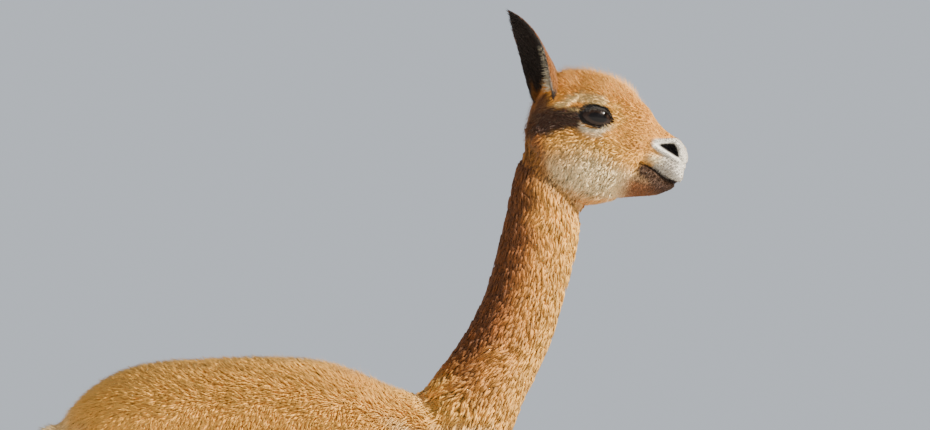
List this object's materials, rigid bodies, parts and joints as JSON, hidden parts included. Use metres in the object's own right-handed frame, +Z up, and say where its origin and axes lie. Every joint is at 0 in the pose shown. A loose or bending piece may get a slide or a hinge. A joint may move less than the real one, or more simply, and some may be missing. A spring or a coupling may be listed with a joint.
{
  "type": "vicuna",
  "caption": "Life-size still model of a standing vicuna with raised neck, upright ears, cloven padded feet, a pale chest bib and a short hanging tail.",
  "frame": {"origin": "on the floor, under the middle of the animal's bounding box", "axes": "+X the way the body faces, +Y the animal's left, +Z up"},
  "size_m": [1.0348, 0.2994, 1.395],
  "materials": {
    "fleece": "matte golden cinnamon fleece, cream below",
    "eye": "glossy near-black",
    "nail": "satin dark horn"
  },
  "bodies": {
    "root": {"head": "fleece", "neck": "fleece", "torso": "fleece", "ear_right": "fleece", "ear_left": "fleece", "tail": "fleece", "foreleg_right": "fleece", "foreleg_left": "fleece", "hindleg_right": "fleece", "hindleg_left": "fleece", "foot_fore_right": "fleece", "foot_fore_left": "fleece", "foot_hind_right": "fleece", "foot_hind_left": "fleece", "nail_fore_right_inner": "nail", "nail_fore_right_outer": "nail", "nail_fore_left_inner": "nail", "nail_fore_left_outer": "nail", "nail_hind_right_inner": "nail", "nail_hind_right_outer": "nail", "nail_hind_left_inner": "nail", "nail_hind_left_outer": "nail", "eye_right": "eye", "eye_left": "eye"}
  },
  "joints": []
}
